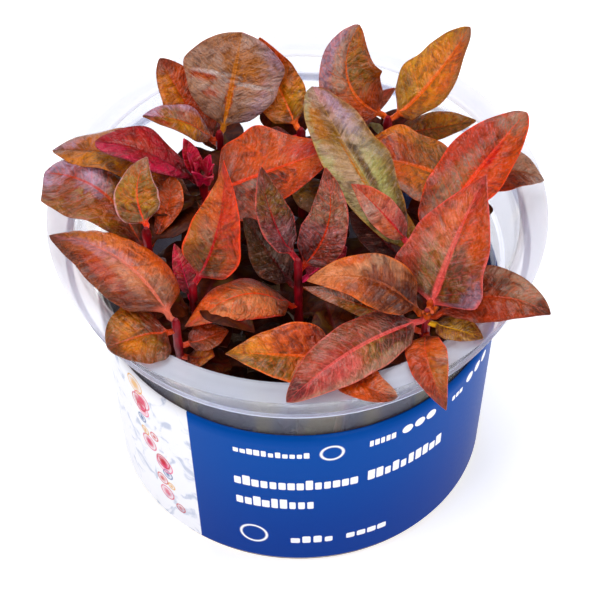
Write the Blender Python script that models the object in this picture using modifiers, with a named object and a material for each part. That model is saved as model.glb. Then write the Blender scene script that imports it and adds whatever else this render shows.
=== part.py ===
# Red-leaved water plant growing in a clear cup.
# Twelve shoots stand in a layer of gel, and their leaves fill the mouth and spread over the rim.
# Sizes below are in millimetres and degrees; Blender gets metres. +Z is up, -Y is the front,
# and the origin is the centre of the cup's base.

import math

import bmesh
import bpy
import numpy as np

MM = 0.001
GAP = 0.3                 # clearance between pieces that touch

# Cup
CUP_HEIGHT = 66.5
BASE_RADIUS = 37.4        # outside, at the bottom
LEDGE_RADIUS = 40.7       # inside, where the wall widens into the mouth
LEDGE_HEIGHT = 54.0
LEDGE_STEP = 0.9
MOUTH_RADIUS = 44.4       # inside edge of the rim
RIM_RADIUS = 50.3         # outside edge of the rim, before its edge is rounded
SKIRT_RADIUS = 46.3       # outside, at the skirt's lower edge
SKIRT_DEPTH = 8.8
WALL = 1.0
EDGE_ROUND = 0.8
CUP_SEGMENTS = 48

# Label sleeve round the wall
LABEL_BOTTOM = 1.8
LABEL_TOP = 45.4
LABEL_THICKNESS = 0.3

# Gel and stems
GEL_TOP = 14.0
SOCKET_DEPTH = 6.0
STEM_RADIUS = 1.0
STEM_POINTS = 6
SOCKET_SIDES = 12

# Leaves
LEAF_THICKNESS = 0.5
STALK_GAP = 0.55          # from the stem's side to where the leaf starts
STALK_WIDTH = 1.2
TIP_WIDTH = 0.6
BROAD_LEAF = 10           # leaves this wide or wider get the finer grid
BROAD_GRID = (7, 4)       # faces along the leaf and across it
SLIM_GRID = (6, 2)

COLLECTION_NAME = "plant_in_cup"

# Leaf and stem colours
TINTS = {
    "salmon": (214, 120, 88),
    "peach": (228, 148, 118),
    "pink": (205, 105, 105),
    "orange": (205, 95, 40),
    "amber": (222, 142, 30),
    "mauve": (178, 115, 112),
    "plum": (134, 90, 85),
    "brown": (150, 90, 55),
    "olive": (145, 120, 52),
    "sage": (140, 148, 108),
    "moss": (86, 66, 32),
    "crimson": (165, 20, 40),
    "magenta": (228, 24, 84),
    "wine": (90, 14, 26),
}


# A shoot: foot is where it enters the gel, top is its upper end.
# A leaf: at is the height where its stalk leaves the stem, tip is its far end, wide is its
# greatest width, and tint is its colour. arch lifts the middle of the midrib and bow pushes it
# to the leaf's right; peak is how far along the leaf that happens. roll raises the right edge.
# left and right are the angles that the two edges curl up by. belly is where the leaf is
# widest, and full makes its outline blunter when it is small.
SHOOTS = {
    "right_front": dict(foot=(20, -22), top=(24.5, -30, 70), leaves=[
        dict(at=69, tip=(36, -12, 88), wide=20, tint="salmon", arch=2, roll=5, belly=0.24, full=0.85,
             left=15, right=15),
        dict(at=68, tip=(48, -31.5, 70), wide=12, tint="wine", arch=2, bow=-3, roll=-14, belly=0.5,
             left=15, right=15),
        dict(at=63.5, tip=(27.5, -49, 63), wide=8, tint="brown", arch=5, bow=2, roll=-8, belly=0.45),
        dict(at=66.5, tip=(35, -35.4, 67.8), wide=7, tint="olive", arch=0.4),
        dict(at=67.8, tip=(-2.5, -51.4, 69), wide=11.5, tint="pink", arch=3.3, bow=0.2, roll=20, full=0.65,
             left=-15, right=-15),
        dict(at=69, tip=(1.7, -27, 75.5), wide=10.5, tint="peach", arch=5.5, roll=30, belly=0.4),
        dict(at=63, tip=(0.9, -22, 68), wide=5, tint="moss", arch=1, roll=10),
    ]),
    "left_middle": dict(foot=(-17, -16), top=(-20.5, -20.5, 68), leaves=[
        dict(at=67, tip=(-14, -7, 88), wide=12, tint="salmon", bow=2, belly=0.3, full=1.1),
        dict(at=62, tip=(-24, -12, 70), wide=4, tint="crimson"),
    ]),
    "centre": dict(foot=(0, -15), top=(0, -17, 70.5), leaves=[
        dict(at=70, tip=(-6.8, -5, 84), wide=9, tint="plum", bow=-1.4, roll=-20, belly=0.42,
             left=20, right=10),
        dict(at=66.5, tip=(5.5, -5.5, 84), wide=9.5, tint="plum", bow=3.2, roll=-5, belly=0.38,
             left=25, right=20),
        dict(at=64, tip=(9.5, -12, 68.5), wide=7, tint="crimson", roll=-20),
        dict(at=57, tip=(-22, -26.5, 62), wide=12, tint="salmon", arch=6, belly=0.42,
             left=-25, right=-25),
        dict(at=62, tip=(-10.4, -9, 74), wide=10, tint="moss"),
    ]),
    "left_front": dict(foot=(-20, -24), top=(-23.5, -31, 69.5), leaves=[
        dict(at=68.8, tip=(-48.5, -9.6, 70.2), wide=17, tint="salmon", arch=2.8, bow=3, roll=7, belly=0.38,
             full=0.7, right=-60),
        dict(at=66.3, tip=(-36.5, -36.2, 67.8), wide=15, tint="amber", arch=1, full=0.5),
        dict(at=61, tip=(-13.7, -27.5, 62), wide=7, tint="brown"),
        dict(at=58, tip=(-16.5, -33, 61), wide=7, tint="orange"),
    ]),
    "left": dict(foot=(-24, -6), top=(-29.5, -10, 72.5), leaves=[
        dict(at=71.5, tip=(-29, 0, 82), wide=9, tint="olive", bow=-2, belly=0.35),
        dict(at=66.5, tip=(-24.5, 2.2, 74.5), wide=6, tint="orange", bow=1, belly=0.65),
        dict(at=64, tip=(-49.8, 4.6, 73.2), wide=19, tint="mauve", roll=17, arch=5.4, bow=1.6, belly=0.72,
             full=0.36, left=32, right=-60),
    ]),
    "back_left_inner": dict(foot=(-16, 4), top=(-18.5, 3, 73), leaves=[
        dict(at=71.3, tip=(-39.7, 8.2, 78), wide=12, tint="crimson", arch=3, roll=-10, belly=0.6, full=0.6),
        dict(at=63.8, tip=(-48.7, 11.8, 72), wide=14.5, tint="brown", arch=6.6, roll=-10, belly=0.6),
        dict(at=68, tip=(9, 8, 76), wide=23, tint="orange", arch=1, bow=0.5, belly=0.3, full=0.9),
        dict(at=72, tip=(-22, 7.2, 79.6), wide=4, tint="magenta"),
    ]),
    "back_left": dict(foot=(-12, 16), top=(-15.5, 18.5, 70), leaves=[
        dict(at=66, tip=(-27.1, 27.4, 82), wide=10.5, tint="amber", bow=-0.5, roll=10, belly=0.5, full=0.65,
             right=20),
        dict(at=68, tip=(-30.4, 15, 78.3), wide=8, tint="olive", arch=2, roll=10),
        dict(at=69, tip=(-10.5, 28.5, 87.7), wide=20, tint="mauve", roll=-22, belly=0.6, full=0.5),
    ]),
    "back": dict(foot=(1, 12), top=(1, 17, 72), leaves=[
        dict(at=71, tip=(-7.1, 31.5, 83.5), wide=10.5, tint="amber", roll=35, arch=-1, belly=0.4),
        dict(at=70, tip=(-6.8, 13.5, 72), wide=7, tint="wine"),
        dict(at=67, tip=(20.1, 25.9, 74.2), wide=8, tint="brown", arch=-1),
        dict(at=60, tip=(5.5, 1.5, 62), wide=8, tint="olive"),
    ]),
    "back_right": dict(foot=(17, 14), top=(18.5, 19, 73), leaves=[
        dict(at=72, tip=(12.8, 29, 89), wide=13.5, tint="brown", bow=-5.5, belly=0.45, full=0.6, right=50),
        dict(at=72, tip=(34.8, 29, 88), wide=14, tint="amber", bow=1.5, belly=0.45, full=0.62, right=40),
        dict(at=68, tip=(36.4, 20.5, 70), wide=8, tint="olive"),
        dict(at=64, tip=(14.5, 20.5, 69.5), wide=6, tint="sage"),
    ]),
    "right_inner": dict(foot=(18, -12), top=(22.5, -16, 74), leaves=[
        dict(at=72.5, tip=(45, 7.8, 85), wide=15.5, tint="orange", belly=0.52, full=0.6, right=45),
        dict(at=73, tip=(10.6, -10, 84), wide=6.5, tint="pink", bow=0.7, roll=20),
        dict(at=68.5, tip=(3.3, 18.7, 82), wide=13, tint="sage", arch=5, bow=-2, peak=0.4, belly=0.58,
             full=0.55),
        dict(at=67.3, tip=(10.3, -6.5, 72.5), wide=9, tint="wine"),
        dict(at=62.5, tip=(20, -4, 71.7), wide=6, tint="olive"),
    ]),
    "front": dict(foot=(7, -27), top=(9, -37, 66.8), leaves=[
        dict(at=64.5, tip=(-14, -38, 67.5), wide=13, tint="amber", arch=0.5, roll=20, belly=0.35, full=1.0),
        dict(at=65.7, tip=(18.3, -49.2, 67.6), wide=8.5, tint="orange", arch=1, bow=3.5, full=0.55),
    ]),
    "right": dict(foot=(27, 0), top=(33, 3, 71), leaves=[
        dict(at=70, tip=(12, 6.5, 74), wide=18, tint="brown", arch=2, full=0.4),
        dict(at=69, tip=(49, 3.5, 70), wide=12, tint="mauve", arch=4),
    ]),
}

LEAF_SHAPE = dict(roll=0, arch=0, bow=0, peak=0.5, belly=0.45, full=0.8, left=10, right=10)


def unit(vector):
    return vector / np.linalg.norm(vector)


def ease(k):
    # smooth step from 0 to 1
    return k * k * (3 - 2 * k)


def stem_point(shoot, height):
    # the stem stands upright in the gel and leans towards its top
    foot = np.array(shoot["foot"], float)
    top = np.array(shoot["top"], float)
    k = min(max((height - GEL_TOP) / (top[2] - GEL_TOP), 0.0), 1.0)
    x, y = foot + (top[:2] - foot) * ease(k)
    return np.array([x, y, height])


def half_width(shape, s):
    # half the blade's width at s, from 0 at the stem to 1 at the tip
    power = math.log(0.5) / math.log(shape["belly"])
    blade = math.sin(math.pi * s ** power) ** shape["full"]
    blade *= ease(min(s / 0.15, 1.0))
    least = STALK_WIDTH if s < 0.5 else TIP_WIDTH
    return max(shape["wide"] * blade, least) / 2


def leaf_axes(shoot, shape):
    # start of the stalk just off the stem, tip, and the chord's own right and upward directions
    root = stem_point(shoot, shape["at"])
    tip = np.array(shape["tip"], float)
    heading = unit((tip - root) * (1, 1, 0))
    start = root + heading * (STEM_RADIUS + STALK_GAP)
    chord = unit(tip - start)
    side = unit(np.cross(chord, (0, 0, 1)))
    return start, tip, side, np.cross(side, chord)


def leaf_point(shoot, leaf, s, t):
    # a point of the blade: s runs from stem to tip, t from -1 at the left edge to 1 at the right
    shape = {**LEAF_SHAPE, **leaf}
    start, tip, side, lift = leaf_axes(shoot, shape)
    control = start + (tip - start) * shape["peak"] + 2 * (shape["arch"] * lift + shape["bow"] * side)
    midrib = (1 - s) ** 2 * start + 2 * s * (1 - s) * control + s * s * tip
    along = unit((1 - s) * (control - start) + s * (tip - control))
    roll = math.radians(shape["roll"])
    across = math.cos(roll) * side + math.sin(roll) * lift
    across = unit(across - along * across.dot(along))
    face = np.cross(across, along)
    curl = math.radians(shape["right"] if t > 0 else shape["left"]) * abs(t)
    reach = half_width(shape, s) * abs(t)
    out, up = reach, 0.0
    if curl:
        out, up = reach * math.sin(curl) / curl, reach * (1 - math.cos(curl)) / curl
    return midrib + across * math.copysign(out, t) + face * up


def linear(colour):
    # display colour from 0 to 255, to the shader's linear values
    return tuple((v / 255) ** 2.2 for v in colour) + (1.0,)


def give_material(obj, colour, roughness, transmission=0.0):
    material = bpy.data.materials.new(obj.name)
    material.use_nodes = True
    shader = material.node_tree.nodes["Principled BSDF"]
    shader.inputs["Base Color"].default_value = linear(colour)
    shader.inputs["Roughness"].default_value = roughness
    shader.inputs["Metallic"].default_value = 0.0
    shader.inputs["Transmission Weight"].default_value = transmission
    material.diffuse_color = linear(colour)
    obj.data.materials.append(material)


def add_object(name, data, collection):
    obj = bpy.data.objects.new(name, data)
    collection.objects.link(obj)
    return obj


def add_collection(name):
    collection = bpy.data.collections.new(name)
    bpy.context.scene.collection.children.link(collection)
    return collection


def add_turned(name, profile, closed, collection):
    # profile points are (radius, height); they run down the outer side
    mesh = bpy.data.meshes.new(name)
    points = [(radius * MM, 0, height * MM) for radius, height in profile]
    edges = [(i, i + 1) for i in range(len(points) - 1)]
    if closed:
        edges.append((len(points) - 1, 0))
    mesh.from_pydata(points, edges, [])
    obj = add_object(name, mesh, collection)
    screw = obj.modifiers.new("turn", "SCREW")
    screw.steps = CUP_SEGMENTS
    screw.render_steps = CUP_SEGMENTS
    screw.use_merge_vertices = True
    screw.merge_threshold = 0.00001
    screw.use_smooth_shade = True
    return obj


def rounded(before, corner, after, radius=EDGE_ROUND, steps=3):
    # a corner of a profile as a curve through points near the corner
    before, corner, after = (np.array(p, float) for p in (before, corner, after))
    start = corner + unit(before - corner) * radius
    end = corner + unit(after - corner) * radius
    k = np.linspace(0, 1, steps)[:, None]
    return [tuple(p) for p in (1 - k) ** 2 * start + 2 * k * (1 - k) * corner + k * k * end]


def wall_radius(height):
    # outside of the tapered wall, from the base to the ledge
    top_radius = LEDGE_RADIUS - LEDGE_STEP + WALL
    return BASE_RADIUS + (top_radius - BASE_RADIUS) * height / (LEDGE_HEIGHT - WALL)


def make_cup(collection):
    skirt_edge = CUP_HEIGHT - SKIRT_DEPTH
    under_rim = CUP_HEIGHT - 1.2 * WALL
    ledge_inside = LEDGE_RADIUS - LEDGE_STEP
    inside = [
        (0, WALL),
        (BASE_RADIUS - WALL, WALL),
        (ledge_inside, LEDGE_HEIGHT),
        (LEDGE_RADIUS, LEDGE_HEIGHT),
    ]
    mouth, rim = (MOUTH_RADIUS, CUP_HEIGHT), (RIM_RADIUS, CUP_HEIGHT)
    skirt, base = (SKIRT_RADIUS, skirt_edge), (BASE_RADIUS, 0)
    hidden = [
        (SKIRT_RADIUS - WALL, skirt_edge),
        (RIM_RADIUS - 1.4 * WALL, under_rim),
        (MOUTH_RADIUS + 1.2 * WALL, under_rim),
        (LEDGE_RADIUS + 1.1 * WALL, LEDGE_HEIGHT),
        (LEDGE_RADIUS + 1.1 * WALL, LEDGE_HEIGHT - WALL),
        (ledge_inside + WALL, LEDGE_HEIGHT - WALL),
    ]
    profile = inside + rounded(inside[-1], mouth, rim) + rounded(mouth, rim, skirt) + [skirt]
    profile += hidden + rounded(hidden[-1], base, (0, 0)) + [(0, 0)]
    cup = add_turned("cup", profile, False, collection)
    give_material(cup, (225, 228, 238), 0.05, transmission=1.0)


def make_label(collection):
    inner, outer = GAP, GAP + LABEL_THICKNESS
    low, high = wall_radius(LABEL_BOTTOM), wall_radius(LABEL_TOP)
    profile = [
        (low + inner, LABEL_BOTTOM),
        (high + inner, LABEL_TOP),
        (high + outer, LABEL_TOP),
        (low + outer, LABEL_BOTTOM),
    ]
    label = add_turned("label", profile, True, collection)
    give_material(label, (18, 80, 170), 0.3)


def add_cylinder(name, low_radius, high_radius, low, high, sides, collection):
    mesh = bpy.data.meshes.new(name)
    solid = bmesh.new()
    bmesh.ops.create_cone(
        solid, cap_ends=True, segments=sides,
        radius1=low_radius * MM, radius2=high_radius * MM, depth=(high - low) * MM)
    bmesh.ops.translate(solid, verts=solid.verts, vec=(0, 0, (low + high) / 2 * MM))
    solid.to_mesh(mesh)
    solid.free()
    return add_object(name, mesh, collection)


def make_gel(collection, cutters):
    low = WALL + GAP
    gel = add_cylinder("growing_gel", wall_radius(low) - WALL - GAP, wall_radius(GEL_TOP) - WALL - GAP,
                       low, GEL_TOP, CUP_SEGMENTS, collection)
    give_material(gel, (200, 190, 165), 0.2, transmission=0.5)
    for name, shoot in SHOOTS.items():
        radius = STEM_RADIUS + GAP
        socket = add_cylinder("socket_" + name, radius, radius, GEL_TOP - SOCKET_DEPTH, GEL_TOP + 1,
                              SOCKET_SIDES, cutters)
        socket.location = (shoot["foot"][0] * MM, shoot["foot"][1] * MM, 0)
        socket.hide_render = True
        socket.display_type = "WIRE"
        cut = gel.modifiers.new(socket.name, "BOOLEAN")
        cut.operation = "DIFFERENCE"
        cut.object = socket


def make_stem(name, shoot, collection):
    low, high = GEL_TOP - SOCKET_DEPTH + GAP, shoot["top"][2]
    heights = [low] + list(np.linspace(GEL_TOP, high, STEM_POINTS - 1))
    curve = bpy.data.curves.new("stem_" + name, "CURVE")
    curve.dimensions = "3D"
    curve.bevel_depth = STEM_RADIUS * MM
    curve.bevel_resolution = 2
    curve.use_fill_caps = True
    spline = curve.splines.new("POLY")
    spline.points.add(len(heights) - 1)
    for point, height in zip(spline.points, heights):
        point.co = (*stem_point(shoot, height) * MM, 1)
    stem = add_object(curve.name, curve, collection)
    give_material(stem, TINTS["wine"], 0.4)


def make_leaf(name, shoot, leaf, collection):
    rows, columns = BROAD_GRID if leaf["wide"] >= BROAD_LEAF else SLIM_GRID
    points = []
    for s in np.linspace(0, 1, rows + 1):
        for t in np.linspace(-1, 1, columns + 1):
            points.append(tuple(leaf_point(shoot, leaf, s, t) * MM))
    faces = []
    for i in range(rows):
        for j in range(columns):
            a = i * (columns + 1) + j
            faces.append((a, a + 1, a + columns + 2, a + columns + 1))
    mesh = bpy.data.meshes.new(name)
    mesh.from_pydata(points, [], faces)
    mesh.shade_smooth()
    obj = add_object(name, mesh, collection)
    thick = obj.modifiers.new("thickness", "SOLIDIFY")
    thick.thickness = LEAF_THICKNESS * MM
    thick.offset = 0
    give_material(obj, TINTS[leaf["tint"]], 0.45)


def main():
    for obj in list(bpy.data.objects):
        bpy.data.objects.remove(obj, do_unlink=True)
    collection = add_collection(COLLECTION_NAME)
    cutters = add_collection(COLLECTION_NAME + "_cutters")
    make_cup(collection)
    make_label(collection)
    make_gel(collection, cutters)
    for name, shoot in SHOOTS.items():
        make_stem(name, shoot, collection)
        for number, leaf in enumerate(shoot["leaves"], 1):
            make_leaf(f"leaf_{name}_{number}", shoot, leaf, collection)


main()
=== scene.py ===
import math

import bpy
import numpy as np
from mathutils import Matrix, Vector


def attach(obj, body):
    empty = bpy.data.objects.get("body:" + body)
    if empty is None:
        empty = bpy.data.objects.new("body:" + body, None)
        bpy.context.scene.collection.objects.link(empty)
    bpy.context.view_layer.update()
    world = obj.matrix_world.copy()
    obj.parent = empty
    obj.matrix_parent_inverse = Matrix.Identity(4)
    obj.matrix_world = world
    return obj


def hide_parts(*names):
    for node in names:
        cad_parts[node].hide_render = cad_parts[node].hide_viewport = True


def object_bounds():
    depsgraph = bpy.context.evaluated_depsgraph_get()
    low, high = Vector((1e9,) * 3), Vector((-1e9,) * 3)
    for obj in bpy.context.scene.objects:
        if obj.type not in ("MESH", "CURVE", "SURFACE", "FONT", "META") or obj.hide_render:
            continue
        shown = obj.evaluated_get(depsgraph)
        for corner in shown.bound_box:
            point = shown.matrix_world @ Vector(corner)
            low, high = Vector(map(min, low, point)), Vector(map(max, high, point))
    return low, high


# Red-leaved water plant in a clear plastic cup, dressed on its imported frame.
# All sizes below are millimetres and degrees. The front of the cup looks along -Y.

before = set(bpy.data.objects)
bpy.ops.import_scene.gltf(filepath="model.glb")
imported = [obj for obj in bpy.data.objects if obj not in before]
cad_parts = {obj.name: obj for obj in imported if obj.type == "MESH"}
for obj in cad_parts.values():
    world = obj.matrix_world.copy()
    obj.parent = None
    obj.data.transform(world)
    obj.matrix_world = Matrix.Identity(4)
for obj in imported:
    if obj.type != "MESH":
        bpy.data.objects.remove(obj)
cadLow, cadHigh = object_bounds()
mm = 0.001

# Camera

camera = dict(
    target=(0.28, 0.0, 39.09),
    distance=600.0,
    elevation=48.84,
    roll=-0.854,
    lens=175.1,
    sensor=36.0,
)


def makeCamera():
    tilt, roll = math.radians(camera["elevation"]), math.radians(camera["roll"])
    back = Vector((0, -math.cos(tilt), math.sin(tilt)))
    level, upright = Vector((1, 0, 0)), Vector((0, math.sin(tilt), math.cos(tilt)))
    right = level * math.cos(roll) + upright * math.sin(roll)
    up = upright * math.cos(roll) - level * math.sin(roll)
    data = bpy.data.cameras.new("camera")
    data.lens, data.sensor_width = camera["lens"], camera["sensor"]
    data.clip_start, data.clip_end = 0.05, 5
    cam = bpy.data.objects.new("camera", data)
    bpy.context.scene.collection.objects.link(cam)
    place = (Vector(camera["target"]) + back * camera["distance"]) * mm
    turn = Matrix((right, up, back)).transposed().to_4x4()
    cam.matrix_world = Matrix.Translation(place) @ turn
    bpy.context.scene.camera = cam


# Colours, as seen on screen

tones = {
    "white": (244, 244, 250),
    "cream": (226, 198, 160),
    "peach": (240, 162, 124),
    "salmon": (230, 130, 96),
    "coral": (228, 70, 48),
    "orange": (232, 92, 6),
    "rust": (188, 58, 6),
    "amber": (234, 138, 0),
    "gold": (222, 164, 10),
    "tan": (196, 124, 66),
    "brown": (142, 62, 14),
    "umber": (88, 38, 10),
    "olive": (140, 98, 4),
    "moss": (84, 56, 8),
    "sage": (174, 180, 116),
    "grey": (196, 168, 158),
    "ash": (178, 142, 120),
    "khaki": (150, 116, 50),
    # lavender and lilac, with white, stand on the leaves mostly for painted sheen and highlights
    "lavender": (186, 162, 196),
    "lilac": (214, 160, 172),
    "mauve": (196, 108, 92),
    "plum": (134, 60, 48),
    "pink": (216, 104, 102),
    "rose": (226, 84, 108),
    "magenta": (228, 16, 84),
    "crimson": (172, 14, 36),
    "maroon": (88, 12, 20),
    "wine": (52, 8, 14),
}


def linear(tone):
    colour = tones[tone] if isinstance(tone, str) else tone
    return tuple((v / 255) ** 2.2 for v in colour) + (1.0,)


# Helpers for shader nodes

class Shader:
    def __init__(self, name):
        self.material = bpy.data.materials.new(name)
        self.material.use_nodes = True
        self.tree = self.material.node_tree
        self.surface = self.tree.nodes["Principled BSDF"]

    def add(self, kind, inputs=(), **settings):
        node = self.tree.nodes.new("ShaderNode" + kind)
        for key, value in settings.items():
            setattr(node, key, value)
        for key, value in dict(inputs).items():
            self.give(node.inputs[key], value)
        return node

    def give(self, socket, value):
        if isinstance(value, bpy.types.NodeSocket):
            self.tree.links.new(value, socket)
        else:
            socket.default_value = value

    def maths(self, operation, *values, clamp=False):
        node = self.add("Math", enumerate(values), operation=operation, use_clamp=clamp)
        return node.outputs[0]

    def plus(self, first, second, clamp=False):
        return self.maths("ADD", first, second, clamp=clamp)

    def minus(self, first, second):
        return self.maths("SUBTRACT", first, second)

    def times(self, first, second):
        return self.maths("MULTIPLY", first, second)

    def timesPlus(self, value, factor, more):
        return self.maths("MULTIPLY_ADD", value, factor, more)

    def size(self, value):
        return self.maths("ABSOLUTE", value)

    def combine(self, x, y, z=0.0):
        return self.add("CombineXYZ", {"X": x, "Y": y, "Z": z}).outputs[0]

    def vector(self, operation, *values):
        node = self.add("VectorMath", enumerate(values), operation=operation)
        single = operation in ("LENGTH", "DISTANCE")
        return node.outputs["Value" if single else "Vector"]

    def step(self, value, low, high):
        # smooth 0 to 1 as value goes from low to high
        inputs = {"Value": value, "From Min": low, "From Max": high}
        return self.add("MapRange", inputs, interpolation_type="SMOOTHSTEP").outputs["Result"]

    def span(self, value, low, high):
        # a 0 to 1 value spread evenly from low to high
        inputs = {"Value": value, "To Min": low, "To Max": high}
        return self.add("MapRange", inputs).outputs["Result"]

    def mix(self, share, first, second, blend="MIX"):
        node = self.add("Mix", data_type="RGBA", blend_type=blend, clamp_result=True)
        for index, value in ((0, share), (6, first), (7, second)):
            self.give(node.inputs[index], value)
        return node.outputs[2]

    def paint(self, tone, colour, share, strength=None):
        # lays a colour over tone
        if strength is not None:
            share = self.times(share, strength)
        return self.mix(share, tone, linear(colour))

    def ramp(self, value, colours):
        node = self.add("ValToRGB", {"Fac": value})
        stops = node.color_ramp.elements
        while len(stops) < len(colours):
            stops.new(0.5)
        for place, (stop, colour) in enumerate(zip(stops, colours)):
            stop.position = place / (len(colours) - 1)
            stop.color = linear(colour)
        return node.outputs["Color"]

    def noise(self, place, scale, detail=3.0, distortion=0.0, shift=0.0):
        moved = self.vector("ADD", place, (shift, shift * 0.7, -shift)) if shift else place
        inputs = {"Vector": moved, "Scale": scale, "Detail": detail, "Distortion": distortion}
        return self.add("TexNoise", inputs).outputs["Fac"]

    def millimetres(self):
        # place on the object, in millimetres
        place = self.add("TexCoord").outputs["Object"]
        return self.add("VectorMath", {0: place, "Scale": 1000.0}, operation="SCALE").outputs[0]

    def printPlace(self):
        # the two halves of the UV: round or along the piece, then up or across it
        uv = self.add("UVMap", uv_map="print").outputs["UV"]
        split = self.add("SeparateXYZ", {0: uv})
        return split.outputs["X"], split.outputs["Y"]

    def bump(self, height, distance, strength=1.0):
        inputs = {"Height": height, "Distance": distance * mm, "Strength": strength}
        return self.add("Bump", inputs).outputs["Normal"]

    def finish(self, **sockets):
        for key, value in sockets.items():
            self.give(self.surface.inputs[key.replace("_", " ")], value)
        return self.material


# Helpers for meshes

class Parts:
    # gathers lofted shapes, with their UVs and material numbers, into one mesh
    def __init__(self):
        self.points, self.faces, self.uvs, self.kinds = [], [], [], []
        self.count = 0

    def addFace(self, face, corners, kind):
        self.faces.append(face)
        self.uvs.append(corners)
        self.kinds.append(kind)

    def addRings(self, rings, corners, kind):
        # a skin over a row of closed rings; corners(i, k) gives the UVs of face k behind ring i
        count, size = rings.shape[:2]
        self.points.extend(rings.reshape(-1, 3).tolist())
        for i in range(count - 1):
            low, high = self.count + i * size, self.count + (i + 1) * size
            for k in range(size):
                n = (k + 1) % size
                self.addFace((low + k, low + n, high + n, high + k), corners(i, k), kind)

    def addBlade(self, top, bottom, s, t, kind=0):
        # top and bottom are grids of points: rows from stalk to tip, columns from left to right
        rows, columns = top.shape[:2]
        v = (t + 1) / 2
        first = np.concatenate([v[:-1], [1], v[:0:-1], [0]])
        second = np.concatenate([v[1:], [1], v[-2::-1], [0]])
        under = np.zeros(2 * columns)
        under[columns:-1] = 2

        def corners(i, k):
            u0, u1 = s[i] + under[k], s[i + 1] + under[k]
            return (u0, first[k]), (u0, second[k]), (u1, second[k]), (u1, first[k])

        self.addRings(np.concatenate([top, bottom[:, ::-1]], axis=1), corners, kind)
        size = 2 * columns
        for i, flip in ((0, True), (rows - 1, False)):
            low = self.count + i * size
            for k in range(columns - 1):
                quad = (low + k, low + k + 1, low + size - 2 - k, low + size - 1 - k)
                self.addFace(quad[::-1] if flip else quad, ((s[i], 0.5),) * 4, kind)
        self.count += rows * size

    def addTube(self, centres, radii, sides, kind=0):
        # a round tube along the centres, closed at both ends
        along = np.gradient(centres, axis=0)
        along /= np.linalg.norm(along, axis=1)[:, None]
        reference = np.where(np.abs(along[:, 2:]) > 0.9, (1.0, 0, 0), (0, 0, 1.0))
        across = np.cross(along, reference)
        across /= np.linalg.norm(across, axis=1)[:, None]
        third = np.cross(along, across)
        angle = np.linspace(0, 2 * math.pi, sides, endpoint=False)
        cosine, sine = np.cos(angle)[None, :, None], np.sin(angle)[None, :, None]
        turned = across[:, None] * cosine + third[:, None] * sine
        last = len(centres) - 1
        rings = centres[:, None] + turned * radii[:, None, None]
        self.addRings(rings, lambda i, k: ((i / last, 0.5),) * 4, kind)
        start, end = self.count, self.count + last * sides
        self.addFace(tuple(range(start + sides - 1, start - 1, -1)), ((0.0, 0.5),) * sides, kind)
        self.addFace(tuple(range(end, end + sides)), ((1.0, 0.5),) * sides, kind)
        self.count += len(centres) * sides

    def addTurned(self, profile, segments, kinds=None):
        # a profile of (radius, height) turned once round; it runs down the outer side
        size, base = len(profile), self.count
        if kinds is None:
            kinds = [0] * (size - 1)
        angle = np.linspace(0, 2 * math.pi, segments, endpoint=False)
        radius, height = np.asarray(profile, float).T
        flat = np.stack([np.sin(angle)[:, None] * radius, -np.cos(angle)[:, None] * radius,
                         np.broadcast_to(height, (segments, size))], axis=-1)
        self.points.extend(flat.reshape(-1, 3).tolist())
        for i in range(segments):
            a, b = base + i * size, base + ((i + 1) % segments) * size
            here, there = i / segments, (i + 1) / segments
            for k in range(size - 1):
                low, high = height[k], height[k + 1]
                self.addFace((a + k, a + k + 1, b + k + 1, b + k),
                             ((here, low), (here, high), (there, high), (there, low)), kinds[k])
        self.count += segments * size

    def build(self, name, materials, sharp=40):
        mesh = bpy.data.meshes.new(name)
        points = np.clip(np.array(self.points) * mm, np.array(cadLow), np.array(cadHigh))
        mesh.from_pydata(points.tolist(), [], self.faces)
        layer = mesh.uv_layers.new(name="print")
        flat = [value for face in self.uvs for corner in face for value in corner]
        layer.data.foreach_set("uv", flat)
        mesh.polygons.foreach_set("material_index", self.kinds)
        for material in materials:
            mesh.materials.append(material)
        mesh.validate()
        mesh.shade_smooth()
        mesh.set_sharp_from_angle(angle=math.radians(sharp))
        piece = bpy.data.objects.new(name, mesh)
        bpy.context.scene.collection.objects.link(piece)
        return piece


def weldPoints(piece, distance=0.002):
    # joins the ends of a turned shape on its axis
    weld = piece.modifiers.new("weld", "WELD")
    weld.merge_threshold = distance * mm
    return piece


def stand(piece, node):
    # the piece takes a node's place on the frame
    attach(piece, "root")
    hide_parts(node)


def unit(vector):
    return vector / np.linalg.norm(vector, axis=-1, keepdims=True)


def ease(k):
    k = np.clip(k, 0, 1)
    return k * k * (3 - 2 * k)


# Cup

cup = dict(
    height=66.5,
    baseRadius=37.4,
    ledgeRadius=40.7,
    ledgeHeight=54.0,
    ledgeStep=0.9,
    mouthRadius=44.4,
    rimRadius=50.3,
    skirtRadius=46.3,
    skirtDepth=8.8,
    wall=1.0,
    edgeRound=0.8,
    segments=192,
    bead=0.8,               # height of the bright edge of the skirt
    footBand=1.5,           # height of the tinted corner at the foot
    ring=0.02,              # depth of the moulded rings on the rim
    ringGap=1.9,
    ringSteps=24,
    roughness=0.12,
    bend=1.16,              # refraction
    streakScale=0.1,        # the upright light patches in the wall
    # milk is the share of the light that the plastic scatters, and cover is how much of it shows:
    # the rest of the light passes straight through the thin wall
    skins={
        "clear_plastic": dict(milk=0.22, cover=0.4, tints=((204, 211, 242), (222, 227, 250)),
                              streak=(255, 251, 242)),
        "bright_edge": dict(milk=0.85, cover=0.9),
        "rim_edge": dict(milk=0.22, cover=0.12),
        "rim_top": dict(milk=0.9, cover=0.55, tints=((219, 224, 243), (227, 232, 247))),
        "foot_edge": dict(milk=0.9, cover=0.85, tints=((150, 128, 112), (196, 178, 164))),
        "mouth_edge": dict(milk=0.8, cover=0.5),
        "skirt_wall": dict(milk=0.12, cover=0.2),
    },
)


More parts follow.
